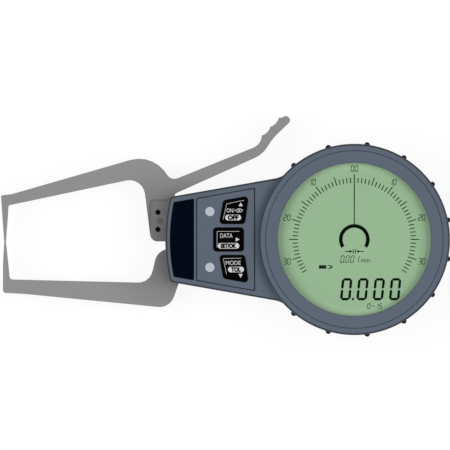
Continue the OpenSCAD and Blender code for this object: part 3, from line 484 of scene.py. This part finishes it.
def mergedMesh(name):
    # copy of a node with its flat faces whole and any hairline cut closed
    bm = joinedNode(name)
    bmesh.ops.dissolve_limit(bm, angle_limit=math.radians(meshCare["flatAngle"]), verts=bm.verts, edges=bm.edges)
    steep = math.radians(meshCare["slitAngle"])
    slits = [e for e in bm.edges if e.is_manifold and not e.is_convex and e.calc_face_angle() > steep]
    lips = {}
    for slit in slits:
        for v in slit.verts:
            others = [e.other_vert(v) for e in v.link_edges if e not in slits]
            lips[v] = min(others, key=lambda other: (other.co - v.co).length)
    bmesh.ops.weld_verts(bm, targetmap=lips)  # the bottom of the cut goes to its lip
    return toMesh(bm, name + "Copy")


def applied(thing):
    # the evaluated mesh in place of the modifiers
    graph = bpy.context.evaluated_depsgraph_get()
    mesh = bpy.data.meshes.new_from_object(thing.evaluated_get(graph))
    thing.modifiers.clear()
    thing.data = mesh
    return thing


def smoothed(mesh):
    for face in mesh.polygons:
        face.use_smooth = True
    mesh.set_sharp_from_angle(angle=math.radians(meshCare["smoothAngle"]))


def dressed(name):
    piece = newObject(name + "Dressed", mergedMesh(name), finishOf[name])
    smoothed(piece.data)
    return piece


def standFor(piece, name):
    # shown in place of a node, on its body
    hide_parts(name)
    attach(piece, bodyOf[name])


# width of the broken edges in millimetres
edgeBreak = {"segments": 2, "fromAngle": 40, "width": {
    "fixed_arm": 0.14, "moving_arm": 0.14, "bezel_ring": 0.08, "key_panel": 0.14,
    "battery_door": 0.14, "front_shell": 0.12, "rear_shell": 0.12}}
for name, width in edgeBreak["width"].items():
    piece = dressed(name)
    rounding = piece.modifiers.new("edges", "BEVEL")
    rounding.width = width * mm
    rounding.segments = edgeBreak["segments"]
    rounding.limit_method = "ANGLE"
    rounding.angle_limit = math.radians(edgeBreak["fromAngle"])
    rounding.use_clamp_overlap = True
    flat = piece.modifiers.new("flatFaces", "WEIGHTED_NORMAL")
    flat.keep_sharp = True
    standFor(applied(piece), name)
for name in ["power_key", "data_key", "mode_key", "grip_studs", "display_lens", "lcd_panel", "indicator_lenses"]:
    standFor(dressed(name), name)
print("edges broken on", len(edgeBreak["width"]), "nodes")

# the closing spring and the key domes, which give way in the real gauge when the arm swings or a key goes down;
# here they are dressed copies only
piece = dressed("closing_spring")
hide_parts("closing_spring")
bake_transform(piece)

domes = {"power_dome": "power_key_press", "data_dome": "data_key_press", "mode_dome": "mode_key_press"}
for name, press in domes.items():
    piece = dressed(name)
    standFor(piece, name)
    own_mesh(piece)
print("spring and domes made:", len(domes) + 1)


def newTree(name, inputs):
    tree = bpy.data.node_groups.new(name, "GeometryNodeTree")
    tree.interface.new_socket(name="Geometry", in_out="OUTPUT", socket_type="NodeSocketGeometry")
    for label, kind in inputs.items():
        tree.interface.new_socket(name=label, in_out="INPUT", socket_type="NodeSocket" + kind)
    maker = Maker(tree)
    entry = tree.nodes.new("NodeGroupInput")
    given = {label: Sock(maker, entry.outputs[label]) for label in inputs}
    return tree, maker, given


def endTree(maker, geometry, material):
    whole = maker.add("GeometryNodeRealizeInstances", None, {0: geometry})
    finished = maker.add("GeometryNodeSetMaterial", None, {"Geometry": whole, "Material": material})
    out = maker.tree.nodes.new("NodeGroupOutput")
    maker.feed(out.inputs[0], finished)


def runTree(name, tree, values, mesh=None):
    thing = newObject(name, mesh or bpy.data.meshes.new(name))
    modifier = thing.modifiers.new("make", "NODES")
    modifier.node_group = tree
    for item in tree.interface.items_tree:
        if item.in_out == "INPUT" and item.name in values:
            modifier[item.identifier] = values[item.name]
    return applied(thing)


def tickTree():
    # bars on an arc about the head's axis, every so many of them long
    tree, maker, given = newTree("dialTicks", {
        "Count": "Int", "Step": "Float", "Inner": "Float", "Short": "Float", "Long": "Float", "Every": "Int",
        "Width": "Float", "Thick": "Float", "Level": "Float", "Finish": "Material"})
    place = maker.add("GeometryNodeInputIndex") - 0.5 * (given["Count"] - 1)
    remainder = maker.math("MODULO", maker.math("ABSOLUTE", place), given["Every"])
    isLong = maker.math("LESS_THAN", remainder, 0.5)
    length = given["Short"] + (given["Long"] - given["Short"]) * isLong
    angle = place * given["Step"]
    middle = given["Inner"] + 0.5 * length
    spot = maker.add("ShaderNodeCombineXYZ", None, {
        0: maker.math("SINE", angle) * middle, 1: maker.math("COSINE", angle) * middle, 2: given["Level"]})
    points = maker.add("GeometryNodePoints", None, {"Count": given["Count"], "Position": spot})
    bar = maker.add("GeometryNodeMeshCube", None, {
        "Size": maker.add("ShaderNodeCombineXYZ", None, {0: given["Width"], 1: 1.0, 2: given["Thick"]})})
    ticks = maker.add("GeometryNodeInstanceOnPoints", None, {
        "Points": points, "Instance": bar,
        "Rotation": maker.add("ShaderNodeCombineXYZ", None, {2: 0 - angle}),
        "Scale": maker.add("ShaderNodeCombineXYZ", None, {0: 1.0, 1: length, 2: 1.0})})
    endTree(maker, ticks, given["Finish"])
    return tree


def pointTree():
    # one piece set at every point of a mesh
    tree, maker, given = newTree("piecesAtPoints", {
        "Geometry": "Geometry", "Piece": "Object", "Finish": "Material"})
    piece = maker.add("GeometryNodeObjectInfo", None, {"Object": given["Piece"]}, "Geometry")
    copies = maker.add("GeometryNodeInstanceOnPoints", None, {"Points": given["Geometry"], "Instance": piece})
    endTree(maker, copies, given["Finish"])
    return tree


inkLift = 0.01  # print stands this far off what it lies on
inkThick = 0.02
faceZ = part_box("lcd_panel")[1].z / mm + inkLift

dialTicks = {"count": 69, "stepDegrees": 3.6, "inner": 20.7, "short": 1.95, "long": 3.2, "every": 5, "width": 0.34}
ticks = runTree("dialTicks", tickTree(), {
    "Count": dialTicks["count"], "Step": math.radians(dialTicks["stepDegrees"]), "Inner": dialTicks["inner"] * mm,
    "Short": dialTicks["short"] * mm, "Long": dialTicks["long"] * mm, "Every": dialTicks["every"],
    "Width": dialTicks["width"] * mm, "Thick": inkThick * mm, "Level": (faceZ + inkThick / 2) * mm,
    "Finish": segmentFine})
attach(ticks, "housing")
print("dial ticks:", len(ticks.data.polygons), "faces")


def slabs(name, outlines, low, material, body):
    # thin closed plates from flat outlines in millimetres, low being their underside
    bm = bmesh.new()
    for outline in outlines:
        foot = [bm.verts.new((x * mm, y * mm, low * mm)) for x, y in outline]
        top = [bm.verts.new((x * mm, y * mm, (low + inkThick) * mm)) for x, y in outline]
        bm.faces.new(foot[::-1])
        bm.faces.new(top)
        for i in range(len(outline)):
            j = (i + 1) % len(outline)
            bm.faces.new((foot[i], foot[j], top[j], top[i]))
    bmesh.ops.recalc_face_normals(bm, faces=bm.faces)
    piece = newObject(name, toMesh(bm, name), material)
    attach(piece, body)


def stroke(a, b, width, pointed=0.0):
    # bar from a to b; pointed draws its ends in to a tip
    a, b = Vector(a), Vector(b)
    run = (b - a).normalized()
    side = Vector((-run.y, run.x)) * width / 2
    tip = run * width / 2 * pointed
    if not pointed:
        return [a - side, b - side, b + side, a + side]
    return [a, a + tip - side, b - tip - side, b, b - tip + side, a + tip + side]


def square(centre, size):
    x, y, half = centre[0], centre[1], size / 2
    return [(x - half, y - half), (x + half, y - half), (x + half, y + half), (x - half, y + half)]


segmentsOf = {"0": "abcdef", "1": "bc", "2": "abged", "3": "abgcd", "5": "afgcd", "-": "g"}


def digit(sign, left, foot, size):
    # seven bars in a leaning cell
    w, h, gap = size["width"], size["height"], size["gap"]
    over, under = h / 2 + size["waist"], h / 2 - size["waist"]
    corners = {"a": ((0, h), (w, h)), "b": ((w, h), (w, over)), "c": ((w, under), (w, 0)), "d": ((0, 0), (w, 0)),
               "e": ((0, 0), (0, under)), "f": ((0, over), (0, h)), "g": ((0, h / 2), (w, h / 2))}
    outlines = []
    for bar in segmentsOf[sign]:
        p, q = (Vector(c) for c in corners[bar])
        run = (q - p).normalized() * gap
        outline = stroke(p + run, q - run, size["stroke"], pointed=1.0)
        outlines.append([(left + x + y * size["lean"], foot + y) for x, y in outline])
    return outlines


def word(signs, left, foot, size):
    outlines = []
    for i, sign in enumerate(signs):
        outlines += digit(sign, left + i * size["pitch"], foot, size)
    return outlines


def arcBand(radius, width, half, steps=40):
    # curved bar, half its angle to each side of the top
    def ring(r):
        angles = [math.radians(half * (2 * k / steps - 1)) for k in range(steps + 1)]
        return [(r * math.sin(a), r * math.cos(a)) for a in angles]
    return ring(radius) + ring(radius - width)[::-1]


bigDigits = {"signs": "0000", "left": -4.8, "foot": -21.9, "width": 2.95, "height": 7.25, "pitch": 5.98,
             "stroke": 0.92, "gap": 0.02, "waist": 0.1, "lean": 0.1, "point": (-0.5, -21.9), "pointSize": 0.8}
stepDigits = {"signs": "0001", "left": -5.15, "foot": -8.5, "width": 1.05, "height": 2.5, "pitch": 1.82,
              "stroke": 0.24, "gap": 0.04, "waist": 0.0, "lean": 0.2, "point": (-3.75, -8.5), "pointSize": 0.3}
rangeDigits = {"each": {"0": 4.8, "-": 6.4, "1": 7.65, "5": 9.1}, "foot": -25.4, "width": 0.95, "height": 1.8,
               "pitch": 0, "stroke": 0.24, "gap": 0.03, "waist": 0.0, "lean": 0.12}
# each is the number, its angle from the top and a shift along
scaleDigits = {"radius": 26.0, "width": 0.95, "height": 2.1, "pitch": 1.42, "stroke": 0.25, "gap": 0.03,
               "waist": 0.0, "lean": 0.06,
               "each": [("00", 0, 0.0), ("10", 36, -1.2), ("20", 72, 0.0), ("30", 108, 0.0), ("10", -36, -0.2),
                        ("20", -72, 0.0), ("30", -108, 0.0)]}
needle = {"from": 5.4, "to": 23.9, "width": 0.36}
horseshoe = {"radius": 5.64, "width": 1.34, "half": 123.6}
unitMark = {"left": 2.5, "foot": -8.4, "each": 1.75, "width": 1.3, "height": 1.05, "stroke": 0.18, "gap": 0.01}
chargeMark = {"left": -12.95, "middle": -10.1, "bars": 3, "barWidth": 0.84, "pitch": 0.9, "height": 1.3,
              "caseLeft": -9.8, "caseRight": -8.05, "tip": 0.95, "stroke": 0.24, "tipStroke": 0.42}
zeroMark = {"middle": -4.4, "reach": 3.45, "tip": 0.68, "tipLength": 1.05, "tipWidth": 1.1, "bar": 0.4,
            "barHeight": 1.6, "stroke": 0.3}


def scaleInk(size):
    outlines = []
    for signs, angle, shift in size["each"]:
        a = math.radians(angle)
        left = size["radius"] * math.sin(a) + shift - (size["pitch"] + size["width"]) / 2
        foot = size["radius"] * math.cos(a) - size["height"] / 2
        outlines += word(signs, left, foot, size)
    return outlines


def unitInk(size):
    # two letters of three legs, joined along their tops
    outlines = []
    top = size["foot"] + size["height"]
    for k in range(2):
        for leg in range(3):
            x = size["left"] + k * size["each"] + leg * size["width"] / 2
            outlines.append(stroke((x, size["foot"]), (x, top), size["stroke"]))
            if leg:
                y, inset = top - size["stroke"] / 2, size["stroke"] / 2 + size["gap"]
                outlines.append(stroke((x - size["width"] / 2 + inset, y), (x - inset, y), size["stroke"]))
    return outlines


def chargeBars(size):
    lefts = [size["left"] + k * size["pitch"] for k in range(size["bars"])]
    return [stroke((left, size["middle"]), (left + size["barWidth"], size["middle"]), size["height"])
            for left in lefts]


def chargeCase(size, side):
    y = size["middle"] + side * (size["height"] - size["stroke"]) / 2
    bend = size["caseRight"] - size["tip"]
    return [stroke((size["caseLeft"], y), (bend, y), size["stroke"]),
            stroke((bend, y), (size["caseRight"], size["middle"]), size["tipStroke"])]


def zeroInk(size, side):
    # arrow that points at a short bar
    y, back = size["middle"], side * (size["tip"] + size["tipLength"])
    barX, barHalf = side * size["bar"], size["barHeight"] / 2
    return [stroke((side * size["reach"], y), (back, y), size["stroke"]),
            [(side * size["tip"], y), (back, y + size["tipWidth"] / 2), (back, y - size["tipWidth"] / 2)],
            stroke((barX, y - barHalf), (barX, y + barHalf), size["stroke"])]


boldInk = word(bigDigits["signs"], bigDigits["left"], bigDigits["foot"], bigDigits)
boldInk.append(square(bigDigits["point"], bigDigits["pointSize"]))
boldInk += chargeBars(chargeMark)
boldInk.append(stroke((0, needle["from"]), (0, needle["to"]), needle["width"]))

fineInk = word(stepDigits["signs"], stepDigits["left"], stepDigits["foot"], stepDigits)
fineInk.append(square(stepDigits["point"], stepDigits["pointSize"]))
for sign, left in rangeDigits["each"].items():
    fineInk += word(sign, left, rangeDigits["foot"], rangeDigits)
fineInk += scaleInk(scaleDigits) + unitInk(unitMark)
for side in (-1, 1):
    fineInk += chargeCase(chargeMark, side) + zeroInk(zeroMark, side)

arc = arcBand(horseshoe["radius"], horseshoe["width"], horseshoe["half"])
slabs("centreArc", [arc], faceZ, segmentDark, "housing")
slabs("readout", boldInk, faceZ, segmentDark, "housing")
slabs("scaleMarks", fineInk, faceZ, segmentFine, "housing")


def lettering(name, text, at, size, weight, low, material, body):
    # a word set to a width and a cap height, middle at a point, in millimetres
    halfDepth = 0.5  # of the raw text, before it is flattened to the ink's thickness
    curve = bpy.data.curves.new(name, "FONT")
    curve.body = text
    curve.align_x = "CENTER"
    curve.align_y = "CENTER"
    curve.extrude = halfDepth
    curve.offset = weight
    thing = newObject(name + "Text", curve)
    graph = bpy.context.evaluated_depsgraph_get()
    mesh = bpy.data.meshes.new_from_object(thing.evaluated_get(graph))
    bpy.data.objects.remove(thing)
    xs, ys = [v.co.x for v in mesh.vertices], [v.co.y for v in mesh.vertices]
    midX, midY = (max(xs) + min(xs)) / 2, (max(ys) + min(ys)) / 2
    growX, growY = size[0] * mm / (max(xs) - min(xs)), size[1] * mm / (max(ys) - min(ys))
    for v in mesh.vertices:
        v.co = ((v.co.x - midX) * growX + at[0] * mm, (v.co.y - midY) * growY + at[1] * mm,
                (low + (v.co.z + halfDepth) * inkThick) * mm)
    mesh.name = name
    piece = newObject(name, mesh, material)
    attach(piece, body)


def pill(centre, size, steps=10):
    half, r = size[0] / 2 - size[1] / 2, size[1] / 2
    outline = []
    for side, first in ((1, -90), (-1, 90)):
        for k in range(steps + 1):
            a = math.radians(first + 180 * k / steps)
            outline.append((centre[0] + side * half + r * math.cos(a), centre[1] + r * math.sin(a)))
    return outline


def arrow(centre, size, turn):
    # small solid triangle, turn 0 pointing up
    a = math.radians(turn)
    corners = [(0, size[1] / 2), (-size[0] / 2, -size[1] / 2), (size[0] / 2, -size[1] / 2)]
    return [(centre[0] + x * math.cos(a) - y * math.sin(a), centre[1] + x * math.sin(a) + y * math.cos(a))
            for x, y in corners]


# places are in millimetres from the middle of each key; arrow is place, size and turn, word is text, place
# and size, pill is text, place, size and size of the text
legends = {
    "power_key": {"frame": [(-3.95, -3.35), (-2.65, 2.4), (3.8, 3.7)],
                  "arrow": ((2.5, 2.2), (1.55, 1.3), 0),
                  "word": ("ON/", (-1.25, -0.05), (2.9, 1.5)),
                  "pill": ("OFF", (-0.3, -2.65), (5.85, 2.05), (3.95, 1.8))},
    "data_key": {"frame": [(-4.2, -2.9), (-4.2, 2.95), (3.9, 2.95)],
                 "arrow": ((3.35, 0.0), (1.5, 1.4), -90),
                 "word": ("DATA", (-0.8, 1.4), (4.5, 1.6)),
                 "pill": ("SET/OK", (0.0, -2.35), (7.9, 2.1), (5.85, 1.8))},
    "mode_key": {"frame": [(-2.7, -2.1), (-3.9, 3.7), (2.75, 3.8)],
                 "arrow": ((2.45, -2.65), (1.55, 1.4), 180),
                 "word": ("MODE", (-0.25, 2.1), (5.5, 1.5)),
                 "pill": ("TOL", (0.75, -0.35), (5.85, 2.05), (3.6, 1.8))},
}
# outline arrows behind the first word: back and tip of each, in millimetres
changeMark = {"key": "power_key", "ends": [(1.65, 0.45), (2.05, 3.3)], "middle": -0.05, "height": 1.5,
              "stroke": 0.2}
legendLine = 0.13
plainWeight, boldWeight = 0.0, 0.07  # how far the letters are fattened


def keyPrint(key, look):
    low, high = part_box(key)
    middle = (low + high) / 2 / mm
    top = high.z / mm + inkLift / 2

    def onKey(p):
        return (middle.x + p[0], middle.y + p[1])

    foot, bend, end = (onKey(p) for p in look["frame"])
    ink = [stroke(foot, bend, legendLine), stroke(bend, end, legendLine)]
    ink.append(arrow(onKey(look["arrow"][0]), *look["arrow"][1:]))
    ink.append(pill(onKey(look["pill"][1]), look["pill"][2]))
    if key == changeMark["key"]:
        for back, tip in changeMark["ends"]:
            corners = [onKey((back, changeMark["middle"] + side * changeMark["height"] / 2)) for side in (-1, 1)]
            for corner in corners:
                ink.append(stroke(corner, onKey((tip, changeMark["middle"])), changeMark["stroke"]))
            ink.append(stroke(*corners, changeMark["stroke"]))
    slabs(key + "Print", ink, top, legendWhite, key)
    text, at, size = look["word"]
    lettering(key + "Word", text, onKey(at), size, plainWeight, top, legendWhite, key)
    text, at, _, size = look["pill"]
    lettering(key + "PillWord", text, onKey(at), size, boldWeight, top + inkThick, keyBlack, key)


for key, look in legends.items():
    keyPrint(key, look)
print("display and key print made")


def solidBoxes(name):
    # box of each separate solid of a node
    bm = joinedNode(name)
    boxes, seen = [], set()
    for start in bm.verts:
        if start in seen:
            continue
        group, todo = [], [start]
        seen.add(start)
        while todo:
            vert = todo.pop()
            group.append(vert.co.copy())
            for edge in vert.link_edges:
                other = edge.other_vert(vert)
                if other not in seen:
                    seen.add(other)
                    todo.append(other)
        low = Vector([min(p[i] for p in group) for i in range(3)])
        high = Vector([max(p[i] for p in group) for i in range(3)])
        boxes.append((low, high))
    bm.free()
    return boxes


screwSides = 24
socketLead = {"deep": 0.05, "wide": 0.06}  # broken edge round the socket


def socketScrew(look, length, facing):
    # head with a chamfer and a hexagon socket, shank below; its top is at the origin
    bm = bmesh.new()

    def ring(r, z, hexagon=False):
        out = []
        for k in range(screwSides):
            a = 2 * math.pi * k / screwSides
            reach = r
            if hexagon:
                local = (a + math.pi / 6) % (math.pi / 3) - math.pi / 6
                reach = r * math.cos(math.pi / 6) / math.cos(local)
            out.append(bm.verts.new((reach * math.cos(a) * mm, reach * math.sin(a) * mm, z * mm * facing)))
        return out

    headR, headH, chamfer = look["head"] / 2, look["headHeight"], look["chamfer"]
    socketR, shankR = look["socket"] / 2, look["shank"] / 2
    rings = [ring(socketR, -look["socketDeep"], True), ring(socketR, -socketLead["deep"], True),
             ring(socketR + socketLead["wide"], 0, True), ring(headR - chamfer, 0), ring(headR, -chamfer),
             ring(headR, -headH), ring(shankR, -headH), ring(shankR, -length)]
    for a, b in zip(rings, rings[1:]):
        for k in range(screwSides):
            after = (k + 1) % screwSides
            bm.faces.new((a[k], a[after], b[after], b[k]))
    bm.faces.new(rings[0])
    bm.faces.new(rings[-1])
    bmesh.ops.recalc_face_normals(bm, faces=bm.faces)
    mesh = toMesh(bm, "screwMaster")
    smoothed(mesh)
    return newObject("screwMaster", mesh)


# sizes of each kind, then which kind a node has and whether its heads face up or down
screwKinds = {
    "fine": {"head": 1.8, "headHeight": 1.0, "shank": 1.3, "socket": 0.95, "socketDeep": 0.6, "chamfer": 0.12},
    "small": {"head": 3.8, "headHeight": 1.3, "shank": 2.0, "socket": 1.75, "socketDeep": 0.8, "chamfer": 0.2},
    "door": {"head": 3.8, "headHeight": 0.9, "shank": 2.0, "socket": 1.75, "socketDeep": 0.6, "chamfer": 0.2},
}
screws = {
    "arm_screws": ("fine", 1), "board_screws": ("fine", 1), "key_board_screws": ("fine", -1),
    "fixed_arm_screws": ("small", 1), "bridge_screws": ("small", 1),
    "housing_screws": ("small", -1), "chassis_screws": ("small", -1), "door_screws": ("door", -1),
}
atPoints = pointTree()
screwCount = 0
for name, (kind, facing) in screws.items():
    boxes = solidBoxes(name)
    screwCount += len(boxes)
    master = socketScrew(screwKinds[kind], (boxes[0][1].z - boxes[0][0].z) / mm, facing)
    heads = [((low.x + high.x) / 2, (low.y + high.y) / 2, high.z if facing > 0 else low.z) for low, high in boxes]
    places = bpy.data.meshes.new(name + "Places")
    places.from_pydata(heads, [], [])
    piece = runTree(name + "Dressed", atPoints, {"Piece": master, "Finish": finishOf[name]}, places)
    bpy.data.objects.remove(master)
    standFor(piece, name)
print("screws made:", screwCount)


# floor and lamps in metres, apart from the small drop of the floor below the part
studio = {"floorDrop": 0.15, "floorSize": 6.0, "paper": (0.96, 0.96, 0.96, 1), "white": (1, 1, 1, 1),
          "worldLight": 0.24, "shadowShare": 0.1, "lampSize": 0.9, "lampPower": 12.6,
          "lampPlaces": {"leftBox": (-0.87, 0.0, 1.25), "rightBox": (0.79, 0.0, 1.25)}}
view = {"middle": (-47.45, 5.3), "width": 165.8, "distance": 5.0, "sensor": 36.0, "farthest": 50.0}


def seenRays(maker):
    # 1 for what the camera sees, straight on, in a reflection or through glass
    path = maker.tree.nodes.new("ShaderNodeLightPath")
    seen = Sock(maker, path.outputs["Is Camera Ray"]) + Sock(maker, path.outputs["Is Glossy Ray"])
    seen = seen + Sock(maker, path.outputs["Is Transmission Ray"])
    return maker.math("MINIMUM", seen, 1.0)


floorMesh = bpy.data.meshes.new("floor")
reach, level = studio["floorSize"], cadLow.z - studio["floorDrop"] * mm
corners = [(-reach, -reach, level), (reach, -reach, level), (reach, reach, level), (-reach, reach, level)]
floorMesh.from_pydata(corners, [], [(0, 1, 2, 3)])
floorWhite, maker = newMaterial("floorWhite")
seen = seenRays(maker) * (1 - studio["shadowShare"])
paper = maker.add("ShaderNodeBsdfDiffuse", None, {"Color": studio["paper"]})
glow = maker.add("ShaderNodeEmission", None, {"Color": studio["white"], "Strength": 1.0})
closeMaterial(maker, maker.add("ShaderNodeMixShader", None, {0: seen, 1: paper, 2: glow}))
floor = newObject("floor", floorMesh, floorWhite)

world = bpy.data.worlds.new("softRoom")
bpy.context.scene.world = world
world.use_nodes = True
world.node_tree.nodes.clear()
maker = Maker(world.node_tree)
strength = studio["worldLight"] + (1 - studio["worldLight"]) * seenRays(maker)
sky = maker.add("ShaderNodeBackground", None, {"Color": studio["white"], "Strength": strength})
worldOut = maker.tree.nodes.new("ShaderNodeOutputWorld")
maker.feed(worldOut.inputs["Surface"], sky)

for name, place in studio["lampPlaces"].items():
    lampData = bpy.data.lights.new(name, "AREA")
    lampData.size = studio["lampSize"]
    lampData.energy = studio["lampPower"]
    lamp = newObject(name, lampData)
    lamp.location = Vector(place)
    lamp.visible_glossy = False  # reflections show the white room alone
    lamp.rotation_mode = "QUATERNION"
    lamp.rotation_quaternion = (Vector((view["middle"][0] * mm, 0, 0)) - lamp.location).to_track_quat("-Z", "Y")

cameraData = bpy.data.cameras.new("camera")
cameraData.type = "PERSP"
cameraData.sensor_width = view["sensor"]
cameraData.lens = view["sensor"] * view["distance"] / (view["width"] * mm)
cameraData.clip_end = view["farthest"]
camera = newObject("camera", cameraData)
camera.location = (view["middle"][0] * mm, view["middle"][1] * mm, view["distance"])  # it looks straight down
bpy.context.scene.camera = camera
bpy.context.scene.view_settings.view_transform = "Standard"

print("scene ready")
